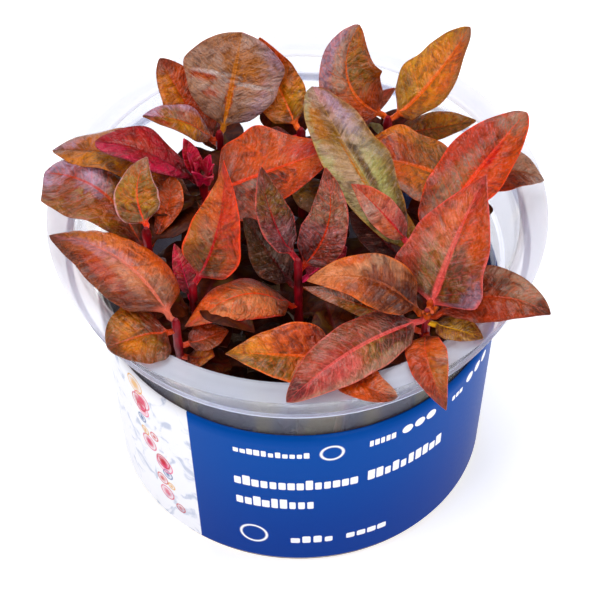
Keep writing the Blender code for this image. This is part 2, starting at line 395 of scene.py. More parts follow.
def wallRadius(height):
    topRadius = cup["ledgeRadius"] - cup["ledgeStep"] + cup["wall"]
    return cup["baseRadius"] + (topRadius - cup["baseRadius"]) * height / (cup["ledgeHeight"] - cup["wall"])


def rounded(before, corner, after, radius, steps=7):
    before, corner, after = (np.array(p, float) for p in (before, corner, after))
    start = corner + unit(before - corner) * radius
    end = corner + unit(after - corner) * radius
    k = np.linspace(0, 1, steps)[:, None]
    return [tuple(p) for p in (1 - k) ** 2 * start + 2 * k * (1 - k) * corner + k * k * end]


def clearPlastic(name, milk, cover, tints=((222, 228, 252), (238, 242, 255)), streak=None):
    look = Shader(name)
    place = look.millimetres()
    cloud = look.noise(place, 0.08, 3)
    fine = look.noise(place, 0.9, 4)
    tint = look.mix(cloud, linear(tints[0]), linear(tints[1]))
    if streak:
        upright = look.vector("MULTIPLY", place, (1.0, 1.0, 0.12))
        share = look.step(look.noise(upright, cup["streakScale"], 2), 0.52, 0.57)
        tint = look.mix(share, tint, linear(streak))
    height = look.plus(look.times(cloud, 3.0), fine)
    return look.finish(
        Base_Color=tint,
        Roughness=look.span(fine, cup["roughness"] * 0.7, cup["roughness"] * 1.4),
        Transmission_Weight=1 - milk,
        Alpha=cover,
        IOR=cup["bend"],
        Normal=look.bump(height, 0.02, 0.3),
    )


def makeCup():
    c = cup
    wall, ledgeInside = c["wall"], c["ledgeRadius"] - c["ledgeStep"]
    skirtEdge, underRim = c["height"] - c["skirtDepth"], c["height"] - 1.2 * wall
    outerWall = c["ledgeRadius"] + 1.1 * wall
    skirtLean = (c["rimRadius"] - c["skirtRadius"]) / c["skirtDepth"]
    # radius, height and rounding of each corner, from the floor over the rim to the underside
    corners = [
        (0, wall, 0),
        (c["baseRadius"] - wall, wall, 1.2),
        (ledgeInside, c["ledgeHeight"], 0.3),
        (c["ledgeRadius"], c["ledgeHeight"], 0.3),
        (c["mouthRadius"], c["height"], c["edgeRound"]),
        (c["rimRadius"], c["height"], c["edgeRound"]),
        (c["skirtRadius"] + c["bead"] * skirtLean, skirtEdge + c["bead"], 0.05),
        (c["skirtRadius"], skirtEdge, 0.2),
        (c["skirtRadius"] - wall, skirtEdge, 0.2),
        (c["rimRadius"] - 1.4 * wall, underRim, 0.3),
        (c["mouthRadius"] + 1.2 * wall, underRim, 0.3),
        (outerWall, c["ledgeHeight"], 0.2),
        (outerWall, c["ledgeHeight"] - wall, 0.2),
        (ledgeInside + wall, c["ledgeHeight"] - wall, 0.2),
        (c["baseRadius"], 0, c["edgeRound"]),
        (0, 0, 0),
    ]
    profile = [corners[0][:2]]
    for before, corner, after in zip(corners, corners[1:], corners[2:]):
        profile += rounded(before[:2], corner[:2], after[:2], corner[2])
    profile.append(corners[-1][:2])
    profile = np.array(profile)
    # faint moulded rings on the flat of the rim
    dense = [profile[0]]
    for a, b in zip(profile, profile[1:]):
        steps = c["ringSteps"] if a[1] == b[1] == c["height"] else 1
        dense += [a + (b - a) * k / steps for k in range(1, steps + 1)]
    profile = np.array(dense)
    onRim = (np.abs(profile[:, 1] - c["height"]) < 0.001) & (profile[:, 0] > c["mouthRadius"])
    rings = np.cos((profile[onRim, 0] - c["mouthRadius"]) * 2 * math.pi / c["ringGap"])
    profile[onRim, 1] -= c["ring"] * (1 + rings)
    # which skin each band of the profile has: edges catch the light, walls stay clear
    radius, height = ((profile[1:] + profile[:-1]) / 2).T
    onSkirt = np.hypot(radius - c["skirtRadius"], height - skirtEdge) < wall
    onMouth = np.hypot(radius - c["mouthRadius"], height - c["height"]) < 0.7 * wall
    onRimEdge = np.hypot(radius - c["rimRadius"], height - c["height"] + 0.3) < 0.6 * wall
    onFoot = (height < c["footBand"]) & (radius > c["baseRadius"] - 0.5 * wall)
    onTop = (np.abs(height - c["height"]) < 0.1) & (radius > c["mouthRadius"])
    onTop &= ~onMouth & ~onRimEdge
    edges = onSkirt | onMouth | onRimEdge | onTop
    inSkirt = (radius > c["mouthRadius"] + 0.5 * wall) & ~edges
    kinds = onSkirt + 2 * onRimEdge + 3 * onTop + 4 * onFoot + 5 * onMouth + 6 * inSkirt
    parts = Parts()
    parts.addTurned(profile, c["segments"], kinds)
    skins = [clearPlastic(name, **skin) for name, skin in c["skins"].items()]
    piece = weldPoints(parts.build("clearCup", skins))
    stand(piece, "cup")


# Label

label = dict(
    bottom=1.8,
    top=45.4,
    gap=0.3,
    thickness=0.3,
    levels=12,
    segments=192,
    degree=0.698,           # millimetres of arc in one degree
    blueFrom=-33.2,
    blueTo=150.0,
    blue=(0, 74, 158),
    deepBlue=(0, 56, 140),
    paleBlue=(30, 90, 180),
    ink=(250, 250, 255),
    paper=(246, 246, 252),
    shadedPaper=(236, 238, 250),
    # rows of blocks: start and end angle, height of the middle, how tall, how many, which one is skipped
    rows=[
        dict(start=-19.6, end=2.6, level=38.8, tall=1.9, blocks=11),
        dict(start=19.4, end=27.9, level=39.3, tall=1.9, blocks=5),
        dict(start=48.4, end=53.6, level=39.2, tall=1.9, blocks=3),
        dict(start=-20.0, end=45.6, level=28.4, tall=3.3, blocks=25, gap=14),
        dict(start=-19.8, end=3.9, level=21.6, tall=3.3, blocks=9),
        dict(start=-3.8, end=26.8, level=8.6, tall=2.4, blocks=9, gap=4),
    ],
    halfWide=(0.34, 0.44),  # of a block, as shares of the pitch
    halfTall=(0.37, 0.13),  # of a low block, and what a tall one adds, as shares of the height
    lowBlocks=0.62,         # share of the blocks that are low
    blockCorner=0.16,
    dots=[(31.6, 39.5), (35.8, 39.6), (39.9, 39.7), (57.0, 40.3), (61.6, 40.3), (66.3, 39.9)],
    dotRadius=1.25,
    rings=[(8.8, 39.0, 2.2), (-14.8, 9.6, 2.8)],
    ringWidth=0.45,
    # bubbles on the white panel, scattered along a rising line
    bubbles=dict(
        count=15,
        angles=(-43.0, -56.0),
        levels=(7.0, 42.0),
        spread=3.0,
        radii=(0.9, 2.4),
        line=0.3,
        colours=[(190, 0, 36), (216, 20, 84), (226, 160, 0), (206, 34, 10), (50, 84, 150), (232, 60, 120)],
        smudge=(140, 156, 192),
        smudgeShare=(0.1, 0.45),    # everywhere, and how much more round the bubbles
        smudgeMiddle=-50.0,
        seed=12,
    ),
)


def blockRow(look, arc, height, row, index):
    # a row of rounded blocks of changing width and height on one base line
    start, end = row["start"] * label["degree"], row["end"] * label["degree"]
    pitch, tall, middle = (end - start) / row["blocks"], row["tall"], row["blocks"] / 2
    corner = label["blockCorner"] * pitch
    low, more = label["halfTall"]
    along = look.maths("DIVIDE", look.minus(arc, start), pitch)
    cell = look.maths("FLOOR", along)
    draw = look.add("TexWhiteNoise", {"W": look.plus(cell, 50.5 * (index + 1))}, noise_dimensions="1D")
    first = draw.outputs["Value"]
    second = look.add("SeparateColor", {0: draw.outputs["Color"]}).outputs[1]
    halfWide = look.span(first, *(share * pitch for share in label["halfWide"]))
    isTall = look.maths("GREATER_THAN", second, label["lowBlocks"])
    halfTall = look.timesPlus(isTall, more * tall, low * tall)
    base = row["level"] - tall / 2
    aside = look.size(look.times(look.minus(look.maths("FRACT", along), 0.5), pitch))
    above = look.size(look.minus(look.minus(height, base), halfTall))
    x = look.maths("MAXIMUM", look.plus(look.minus(aside, halfWide), corner), 0.0)
    y = look.maths("MAXIMUM", look.plus(look.minus(above, halfTall), corner), 0.0)
    far = look.maths("POWER", look.plus(look.times(x, x), look.times(y, y)), 0.5)
    inside = look.maths("LESS_THAN", far, corner)
    within = look.maths("LESS_THAN", look.size(look.minus(along, middle)), middle)
    shown = look.times(inside, within)
    gap = look.maths("COMPARE", cell, float(row.get("gap", -9)), 0.5)
    return look.minus(shown, look.times(shown, gap))


def labelFilm():
    look, c, b = Shader("label_film"), label, label["bubbles"]
    place = look.millimetres()
    turn, height = look.printPlace()
    wrapped = look.minus(turn, look.maths("GREATER_THAN", turn, 0.5))
    angle = look.times(wrapped, 360.0)
    arc = look.times(angle, c["degree"])
    spot = look.combine(arc, height)
    grain = look.noise(place, 1.4, 4)
    cloud = look.noise(place, 0.05, 2)
    blue = look.mix(look.step(height, 2, 44), linear(c["deepBlue"]), linear(c["blue"]))
    blue = look.paint(blue, c["paleBlue"], look.span(grain, 0.0, 0.1))
    paper = look.paint(linear(c["paper"]), c["shadedPaper"], look.span(cloud, 0, 0.5))

    def distance(turnAt, level):
        return look.vector("DISTANCE", spot, (turnAt * c["degree"], level, 0))

    def ringLine(far, radius, width):
        return look.step(look.size(look.minus(far, radius)), width, width * 0.2)

    nearBubbles = look.step(look.size(look.plus(angle, -b["smudgeMiddle"])), 34.0, 12.0)
    least, more = b["smudgeShare"]
    smudge = look.step(look.noise(place, 0.2, 4, 1.0), 0.54, 0.68)
    paper = look.paint(paper, b["smudge"], smudge, look.timesPlus(nearBubbles, more, least))
    draws = np.random.default_rng(b["seed"])
    for k in range(b["count"]):
        rise = (k + draws.uniform(0, 1)) / b["count"]
        turnAt, level = (low + (high - low) * rise for low, high in (b["angles"], b["levels"]))
        turnAt += draws.uniform(-1, 1) * b["spread"]
        radius = draws.uniform(*b["radii"])
        far = distance(turnAt, level)
        line = ringLine(far, radius, b["line"])
        wash = look.plus(far, look.times(grain, 1.2))
        inside = look.times(look.step(wash, radius + 0.7, radius * 0.5), draws.uniform(0.75, 1.0))
        amount = look.maths("MAXIMUM", inside, look.times(line, 0.8))
        paper = look.paint(paper, b["colours"][k % len(b["colours"])], amount)
    fromStart = look.step(angle, c["blueFrom"] - 0.1, c["blueFrom"] + 0.1)
    toEnd = look.step(angle, c["blueTo"] + 0.1, c["blueTo"] - 0.1)
    marks = 0.0
    for index, row in enumerate(c["rows"]):
        marks = look.maths("MAXIMUM", marks, blockRow(look, arc, height, row, index))
    for turnAt, level in c["dots"]:
        dot = look.maths("LESS_THAN", distance(turnAt, level), c["dotRadius"])
        marks = look.maths("MAXIMUM", marks, dot)
    for turnAt, level, radius in c["rings"]:
        ring = ringLine(distance(turnAt, level), radius, c["ringWidth"])
        marks = look.maths("MAXIMUM", marks, ring)
    return look.finish(
        Base_Color=look.mix(look.times(fromStart, toEnd), paper, look.paint(blue, c["ink"], marks)),
        Roughness=look.span(grain, 0.3, 0.42),
        Specular_IOR_Level=0.02,
        Normal=look.bump(look.plus(look.times(cloud, 4.0), grain), 0.02, 0.3),
        Coat_Weight=0.05,
        Coat_Roughness=0.15,
    )


def makeLabel():
    low, high = wallRadius(label["bottom"]), wallRadius(label["top"])
    inner, outer = label["gap"], label["gap"] + label["thickness"]
    levels = np.linspace(label["top"], label["bottom"], label["levels"])
    radii = np.linspace(high, low, label["levels"])
    outside = list(zip(radii + outer, levels))
    inside = list(zip(radii[::-1] + inner, levels[::-1]))
    parts = Parts()
    parts.addTurned(outside + inside + [outside[0]], label["segments"])
    piece = weldPoints(parts.build("labelSleeve", [labelFilm()]))
    stand(piece, "label")


# Shoots and leaves
# foot is where a shoot enters the gel, top is its upper end, young names the leaves round its tip,
# and clear is how far its small leaves stay under the top.
# A leaf as the frame has it: height of its stalk on the stem, tip, greatest width, and its tint.
# arch, bow and peak bend it, roll tips it, curl lifts its left and right half in degrees,
# belly is where it is widest and full is how blunt it is.
# left and right: tones from stalk to tip on each half. rims: tones toward its two sides.
# rib, edge, sheen: tones of midrib, margin and painted sheen (painted gloss highlights), with ribs, seam
# and shine for their strength.
# warm: how many orange flecks. crease: how rough it is.
# marks: patches at (along 0 to 1, across -1 to 1), their reach both ways, tone and strength.

shoots = {
    "right_front": dict(foot=(20, -22), top=(24.5, -30, 70), young="small", clear=8, leaves=[
        dict(at=69, tip=(36, -12, 88), wide=20, tint="salmon", arch=2, roll=5, belly=0.24, full=0.85,
             curl=(15, 15),
             left="umber khaki ash salmon salmon pink", right="umber olive ash orange rust pink",
             rib="pink", edge="pink", sheen="lilac", shine=0.2, seam=0.5, rims=("rust", "brown"), warm=0.5,
             ribs=1.8,
             marks=[(0.2, -0.8, 0.2, 0.35, "rust", 0.8), (0.15, 0.85, 0.18, 0.25, "lavender", 0.75),
                    (0.3, -0.3, 0.2, 0.25, "khaki", 0.6), (0.3, 0.25, 0.2, 0.25, "umber", 0.5),
                    (0.6, -0.25, 0.25, 0.15, "salmon", 0.7), (0.65, 0.7, 0.25, 0.4, "orange", 0.6)]),
        dict(at=68, tip=(48, -31.5, 70), wide=12, tint="wine", arch=2, bow=-3, roll=-14, belly=0.5,
             curl=(15, 15),
             left="rust brown umber ash umber", right="rust rust rust brown umber", shine=0.15,
             rims=("ash", "rust"), seam=0.5,
             marks=[(0.4, 0.1, 0.2, 0.4, "orange", 0.6), (0.95, 0, 0.1, 1, "umber", 0.8)]),
        dict(at=63.5, tip=(27.5, -49, 63), wide=8, tint="brown", arch=5, bow=2, roll=-8,
             left="brown orange tan plum", right="amber orange rust plum", edge="pink", seam=0.4),
        dict(at=66.5, tip=(35, -35.4, 67.8), wide=7, tint="olive", arch=0.4,
             left="umber olive brown", right="umber brown umber", rib="gold", sheen="cream", shine=0.4,
             warm=0.5),
        dict(at=67.8, tip=(-2.5, -51.4, 69), wide=11.5, tint="pink", arch=3.3, bow=0.2, roll=20, full=0.65,
             curl=(-15, -15),
             left="umber khaki khaki pink pink crimson", right="umber umber brown brown mauve maroon",
             rib="pink", edge="pink", seam=0.4, rims=("ash", "brown"), warm=0.3, ribs=1.7,
             marks=[(0.2, -0.3, 0.15, 0.35, "umber", 0.8), (0.3, -0.85, 0.25, 0.2, "ash", 0.8),
                    (0.65, -0.1, 0.15, 0.6, "pink", 0.5), (0.93, 0, 0.08, 1, "maroon", 0.8)]),
        dict(at=69, tip=(1.7, -27, 75.5), wide=10.5, tint="peach", arch=5.5, roll=30, belly=0.4,
             left="wine umber brown salmon peach", right="wine umber ash peach peach", rib="brown",
             edge="orange", sheen="peach", shine=0.4, warm=0.3,
             marks=[(0.68, 0.75, 0.12, 0.3, "orange", 0.7), (0.42, 0.2, 0.15, 0.4, "plum", 0.7),
                    (0.8, 0, 0.2, 0.5, "peach", 0.7), (0.35, -0.5, 0.15, 0.3, "umber", 0.6)]),
        dict(at=63, tip=(0.9, -22, 68), wide=5, tint="moss", arch=1, roll=10,
             left="moss olive brown", right="moss moss umber"),
    ]),
    "left_middle": dict(foot=(-17, -16), top=(-20.5, -20.5, 68), leaves=[
        dict(at=67, tip=(-14, -7, 88), wide=12, tint="salmon", bow=2, belly=0.3, full=1.1,
             left="umber olive ash salmon salmon pink", right="umber olive rust coral coral pink",
             rib="crimson", edge="coral", sheen="salmon", seam=0.7, rims=("tan", "coral"), warm=0.5,
             marks=[(0.3, -0.75, 0.12, 0.3, "tan", 0.7), (0.15, 0.3, 0.15, 0.3, "moss", 0.6)]),
        dict(at=62, tip=(-24, -12, 70), wide=4, tint="crimson",
             left="wine crimson rose", right="wine crimson pink", rib="magenta", edge="rose"),
    ]),
    "centre": dict(foot=(0, -15), top=(0, -17, 70.5), clear=15, leaves=[
        dict(at=70, tip=(-6.8, -5, 84), wide=9, tint="plum", bow=-1.4, roll=-20, belly=0.42, curl=(20, 10),
             left="umber plum khaki mauve", right="umber umber khaki plum", rib="crimson", edge="pink",
             shine=0.4, sheen="lilac", seam=0.6, warm=0.3, crease=2.2),
        dict(at=66.5, tip=(5.5, -5.5, 84), wide=9.5, tint="plum", bow=3.2, roll=-5, belly=0.38,
             curl=(25, 20),
             left="maroon umber ash mauve", right="umber brown ash mauve", rib="coral", edge="pink",
             shine=0.4, sheen="lilac", seam=0.5, warm=0.3, crease=1.8),
        dict(at=64, tip=(9.5, -12, 68.5), wide=7, tint="crimson", roll=-20,
             left="magenta crimson magenta", right="crimson magenta crimson", rib="magenta", edge="rose"),
        dict(at=57, tip=(-22, -26.5, 62), wide=12, tint="salmon", arch=6, belly=0.42, curl=(-25, -25),
             left="rust peach peach peach pink", right="rust salmon brown orange salmon", rib="coral",
             edge="crimson", sheen="peach", shine=0.3, seam=0.7, rims=("salmon", "rust"), warm=0.5,
             marks=[(0.5, 0.1, 0.25, 0.3, "peach", 0.6), (0.75, 0.6, 0.15, 0.3, "orange", 0.7)]),
        dict(at=62, tip=(-10.4, -9, 74), wide=10, tint="moss",
             left="wine moss moss", right="wine moss umber", rib="maroon", crease=1.5),
    ]),
    "left_front": dict(foot=(-20, -24), top=(-23.5, -31, 69.5), clear=13, leaves=[
        dict(at=68.8, tip=(-48.5, -9.6, 70.2), wide=17, tint="salmon", arch=2.8, bow=3, roll=7, belly=0.38,
             full=0.7, curl=(10, -60),
             left="umber brown ash rust brown umber", right="brown ash salmon salmon tan umber",
             rib="mauve", sheen="peach", shine=0.35, rims=("umber", "orange"), warm=0.6,
             # the lilac mark in its middle is a painted highlight
             marks=[(0.62, -0.08, 0.32, 0.25, "lilac", 0.8), (0.35, -0.2, 0.22, 0.25, "peach", 0.7),
                    (0.5, -0.6, 0.2, 0.25, "rust", 0.8), (0.3, 0.8, 0.2, 0.35, "orange", 0.8),
                    (0.7, -0.85, 0.3, 0.2, "umber", 0.7)]),
        dict(at=66.3, tip=(-36.5, -36.2, 67.8), wide=15, tint="amber", arch=1, full=0.5,
             left="umber olive amber moss", right="rust moss amber moss", edge="moss", shine=0.08,
             rims=("umber", "olive"),
             marks=[(0.75, 0.4, 0.2, 0.4, "khaki", 0.3), (0.9, 0, 0.12, 0.8, "umber", 0.6)]),
        dict(at=61, tip=(-13.7, -27.5, 62), wide=7, tint="brown",
             left="umber rust brown", right="umber brown rust", edge="brown"),
        dict(at=58, tip=(-16.5, -33, 61), wide=7, tint="orange",
             left="umber amber rust", right="umber brown amber"),
    ]),
    "left": dict(foot=(-24, -6), top=(-29.5, -10, 72.5), leaves=[
        dict(at=71.5, tip=(-29, 0, 82), wide=9, tint="olive", bow=-2, belly=0.35,
             left="sage olive gold khaki ash", right="sage gold olive khaki ash", rib="coral",
             edge="lilac", seam=0.5, warm=0.2, rims=("khaki", "khaki"),
             marks=[(0.45, -0.4, 0.15, 0.3, "brown", 0.5), (0.45, 0.5, 0.15, 0.2, "amber", 0.6)]),
        dict(at=66.5, tip=(-24.5, 2.2, 74.5), wide=6, tint="orange", bow=1, belly=0.65,
             left="rust orange salmon", right="orange orange salmon", rib="coral", edge="salmon"),
        # its lavender tones, lavender rim and lavender mark are painted sheen
        dict(at=64, tip=(-49.8, 4.6, 73.2), wide=19, tint="mauve", roll=17, arch=5.4, bow=1.6, belly=0.72,
             full=0.36, curl=(32, -60),
             left="rust olive brown khaki lavender", right="brown olive khaki lavender lavender",
             edge="plum", sheen="lilac", rims=("khaki", "lavender"), warm=0.2,
             marks=[(0.78, -0.15, 0.1, 0.55, "brown", 0.85), (0.62, 0.05, 0.16, 0.3, "lavender", 0.5),
                    (0.5, 0.5, 0.12, 0.3, "umber", 0.6), (0.45, -0.6, 0.2, 0.3, "tan", 0.45)]),
    ]),
    "back_left_inner": dict(foot=(-16, 4), top=(-18.5, 3, 73), young="pink", leaves=[
        dict(at=71.3, tip=(-39.7, 8.2, 78), wide=12, tint="crimson", arch=3, roll=-10, belly=0.6, full=0.6,
             left="crimson magenta crimson crimson magenta", right="maroon crimson crimson rust crimson",
             rib="maroon", edge="wine", sheen="rose", shine=0.1, seam=0.6, rims=("magenta", "crimson"),
             warm=0.4,
             marks=[(0.6, 0.15, 0.2, 0.3, "rust", 0.5), (0.85, -0.4, 0.15, 0.4, "magenta", 0.7),
                    (0.85, 0.4, 0.15, 0.5, "crimson", 0.8)]),
        dict(at=63.8, tip=(-48.7, 11.8, 72), wide=14.5, tint="brown", arch=6.6, roll=-10, belly=0.6,
             left="brown rust amber gold amber umber", right="brown olive gold amber lavender",
             rib="brown", edge="plum", shine=0.06, rims=("amber", "ash"),
             marks=[(0.8, 0, 0.15, 0.3, "umber", 0.5)]),
        dict(at=68, tip=(9, 8, 76), wide=23, tint="orange", arch=1, bow=0.5, belly=0.3, full=0.9,
             left="orange orange orange salmon pink pink", right="rust umber brown orange salmon pink",
             rib="coral", edge="coral", shine=0.35, rims=("orange", "rust"), seam=0.4,
             marks=[(0.4, 0.3, 0.22, 0.22, "umber", 0.85), (0.3, 0.2, 0.08, 0.12, "grey", 0.7),
                    (0.75, -0.3, 0.2, 0.5, "pink", 0.5)]),
        dict(at=72, tip=(-22, 7.2, 79.6), wide=4, tint="magenta",
             left="magenta crimson rose", right="crimson magenta crimson", rib="rose", edge="rose"),
    ]),
    "back_left": dict(foot=(-12, 16), top=(-15.5, 18.5, 70), leaves=[
        dict(at=66, tip=(-27.1, 27.4, 82), wide=10.5, tint="amber", bow=-0.5, roll=10, belly=0.5,
             full=0.65, curl=(10, 20),
             left="orange tan amber amber brown", right="rust orange rust orange umber", warm=1.5,
             marks=[(0.5, -0.5, 0.25, 0.3, "tan", 0.6), (0.95, 0, 0.08, 1, "plum", 0.7)]),
        # its lavender tones and lavender rim are painted sheen
        dict(at=68, tip=(-30.4, 15, 78.3), wide=8, tint="olive", arch=2, roll=10,
             left="orange olive gold khaki umber", right="olive amber ash khaki lavender", edge="plum",
             sheen="lilac", rims=("olive", "lavender"), warm=0.4,
             marks=[(0.8, -0.7, 0.15, 0.3, "crimson", 0.6)]),
        dict(at=69, tip=(-10.5, 28.5, 87.7), wide=20, tint="mauve", roll=-22, belly=0.6, full=0.5,
             left="ash ash grey ash grey tan", right="ash ash grey tan grey grey", rib="tan", edge="plum",
             shine=0.6, rims=("ash", "lavender"), warm=0.05, ribs=1.4,
             # the two thin white marks along the folds are painted highlights
             marks=[(0.52, -0.62, 0.06, 0.3, "rust", 0.8), (0.36, -0.45, 0.05, 0.22, "rust", 0.7),
                    (0.3, 0, 0.25, 0.1, "orange", 0.9), (0.56, -0.4, 0.025, 0.5, "white", 0.6),
                    (0.5, 0.35, 0.025, 0.45, "white", 0.6), (0.75, 0.1, 0.15, 0.5, "tan", 0.6)]),
    ]),
    "back": dict(foot=(1, 12), top=(1, 17, 72), leaves=[
        dict(at=71, tip=(-7.1, 31.5, 83.5), wide=10.5, tint="amber", roll=35, arch=-1, belly=0.4,
             left="olive amber amber orange amber", right="olive gold amber orange orange", rib="orange",
             edge="brown", warm=1.5),
        dict(at=70, tip=(-6.8, 13.5, 72), wide=7, tint="wine",
             left="wine maroon maroon", right="wine wine maroon", rib="crimson", edge="maroon"),
        dict(at=67, tip=(20.1, 25.9, 74.2), wide=8, tint="brown", arch=-1,
             left="umber brown rust", right="umber brown brown"),
        dict(at=60, tip=(5.5, 1.5, 62), wide=8, tint="olive",
             left="olive gold amber gold", right="moss gold cream cream", rib="olive", sheen="cream",
             warm=0.3),
    ]),
    "back_right": dict(foot=(17, 14), top=(18.5, 19, 73), leaves=[
        dict(at=72, tip=(12.8, 29, 89), wide=13.5, tint="brown", bow=-5.5, full=0.6, curl=(10, 50),
             left="orange orange ash grey grey", right="orange brown khaki olive tan", rib="orange",
             edge="brown", shine=0.2, rims=("lilac", "brown"), warm=0.4,
             marks=[(0.75, -0.8, 0.25, 0.3, "lavender", 0.8), (0.65, 0.45, 0.2, 0.3, "olive", 0.5),
                    (0.2, 0, 0.12, 0.8, "orange", 0.7)]),
        dict(at=72, tip=(34.8, 29, 88), wide=14, tint="amber", bow=1.5, full=0.62, curl=(10, 40),
             left="gold gold amber amber olive", right="amber amber amber orange ash", rib="orange",
             sheen="gold", shine=0.1, rims=("gold", "olive"), ribs=1.8, warm=0.5,
             marks=[(0.3, -0.6, 0.15, 0.3, "olive", 0.6), (0.5, 0.6, 0.12, 0.3, "orange", 0.6),
                    (0.93, 0, 0.1, 1, "ash", 0.6)]),
        dict(at=68, tip=(36.4, 20.5, 70), wide=8, tint="olive",
             left="olive khaki gold khaki", right="rust olive khaki olive"),
        dict(at=64, tip=(14.5, 20.5, 69.5), wide=6, tint="sage",
             left="sage sage sage", right="olive sage sage", rib="olive", edge="sage"),
    ]),
    "right_inner": dict(foot=(18, -12), top=(22.5, -16, 74), leaves=[
        dict(at=72.5, tip=(45, 7.8, 85), wide=15.5, tint="orange", belly=0.52, full=0.6, curl=(10, 45),
             left="ash ash khaki rust brown ash", right="orange orange coral orange orange ash",
             rib="coral", edge="coral", sheen="lilac", shine=0.2, rims=("rust", "orange"), seam=0.45,
             ribs=1.5, warm=0.6,
             marks=[(0.42, -0.35, 0.28, 0.3, "ash", 0.6), (0.6, -0.8, 0.3, 0.25, "rust", 0.8),
                    (0.93, 0, 0.1, 1, "ash", 0.8), (0.65, 0.1, 0.1, 0.15, "rose", 0.6)]),
        dict(at=73, tip=(10.6, -10, 84), wide=6.5, tint="pink", bow=0.7, roll=20,
             left="salmon salmon grey salmon", right="mauve pink salmon pink", rib="crimson", edge="pink",
             warm=0.3, ribs=1.6),
        dict(at=68.5, tip=(3.3, 18.7, 82), wide=13, tint="sage", arch=5, bow=-2, peak=0.4, belly=0.58,
             full=0.55,
             left="sage sage cream olive grey", right="olive sage sage grey lilac", rib="olive",
             edge="tan", shine=0.4, warm=0.1, rims=("sage", "olive"),
             # the lavender mark is painted sheen
             marks=[(0.5, 0.18, 0.2, 0.14, "moss", 0.95), (0.45, -0.1, 0.25, 0.06, "amber", 0.7),
                    (0.8, -0.6, 0.12, 0.3, "amber", 0.5), (0.85, 0.5, 0.15, 0.3, "lavender", 0.7),
                    (0.3, 0.85, 0.25, 0.2, "moss", 0.5)]),
        dict(at=67.3, tip=(10.3, -6.5, 72.5), wide=9, tint="wine",
             left="wine wine maroon", right="wine maroon maroon", rib="maroon", edge="wine"),
        dict(at=62.5, tip=(20, -4, 71.7), wide=6, tint="olive",
             left="olive tan olive", right="moss olive gold", edge="olive", sheen="cream"),
    ]),
    "front": dict(foot=(7, -27), top=(9, -37, 66.8), leaves=[
        dict(at=64.5, tip=(-14, -38, 67.5), wide=13, tint="amber", arch=0.5, roll=20, belly=0.35, full=1.0,
             left="rust orange olive olive gold", right="umber rust orange amber gold", rib="orange",
             edge="orange", sheen="peach", shine=0.05, seam=0.6, warm=1.4,
             marks=[(0.7, -0.6, 0.2, 0.3, "moss", 0.5)]),
        dict(at=65.7, tip=(18.3, -49.2, 67.6), wide=8.5, tint="orange", arch=1, bow=3.5, full=0.55,
             left="rust rust orange ash", right="umber rust orange umber"),
    ]),
    "right": dict(foot=(27, 0), top=(33, 3, 71), leaves=[
        dict(at=70, tip=(12, 6.5, 74), wide=18, tint="brown", arch=2, full=0.4,
             left="amber amber orange amber", right="olive olive brown rust amber", rib="orange",
             edge="rust", sheen="tan", shine=0.2, rims=("grey", "amber"), ribs=1.5,
             # the grey rim and grey mark on its lower side are a painted highlight
             marks=[(0.4, 0.3, 0.3, 0.2, "ash", 0.5), (0.5, -0.9, 0.4, 0.15, "grey", 0.7),
                    (0.3, 0.7, 0.3, 0.2, "olive", 0.6)]),
        dict(at=69, tip=(49, 3.5, 70), wide=12, tint="mauve", arch=4,
             left="rust ash ash ash", right="rust orange brown ash", rib="brown", edge="plum"),
    ]),
}

# What holds for a leaf that doesn't say otherwise
leafShape = dict(roll=0, arch=0, bow=0, peak=0.5, belly=0.45, full=0.8, curl=(10, 10), wave=0.7,
                 rib="rust", ribs=1.0, edge="umber", seam=0.25, sheen="grey", shine=0.25, rims=None,
                 warm=1.0, crease=1.0, marks=[])

leafMake = dict(
    broad=10.0,              # leaves this wide or wider get the finer grid
    broadGrid=(66, 29),
    slimGrid=(44, 19),
    stemRadius=1.0,
    stalkGap=0.55,
    stalkWide=1.2,
    tipWide=0.16,
    blade=0.3,               # thickness between the veins
    veinGap=3.6,             # along the midrib, between side veins
    veinSlant=0.55,
    veinStagger=0.35,        # the veins of the two halves don't meet
    groove=0.4,
    pillow=0.26,
    uneven=0.035,            # how far the outline wanders, as a share of the width
)


def stemPoint(shoot, height):
    foot, top = np.array(shoot["foot"], float), np.array(shoot["top"], float)
    k = ease((height - gel["top"]) / (top[2] - gel["top"]))
    return np.array([*(foot + (top[:2] - foot) * k), height])


def bladeWidth(shape, s):
    power = math.log(0.5) / math.log(shape["belly"])
    blade = np.sin(np.pi * np.clip(s, 0, 1) ** power) ** shape["full"] * ease(s / 0.15)
    least = np.where(s < 0.5, leafMake["stalkWide"], leafMake["tipWide"])
    return np.maximum(shape["wide"] * blade, least) / 2


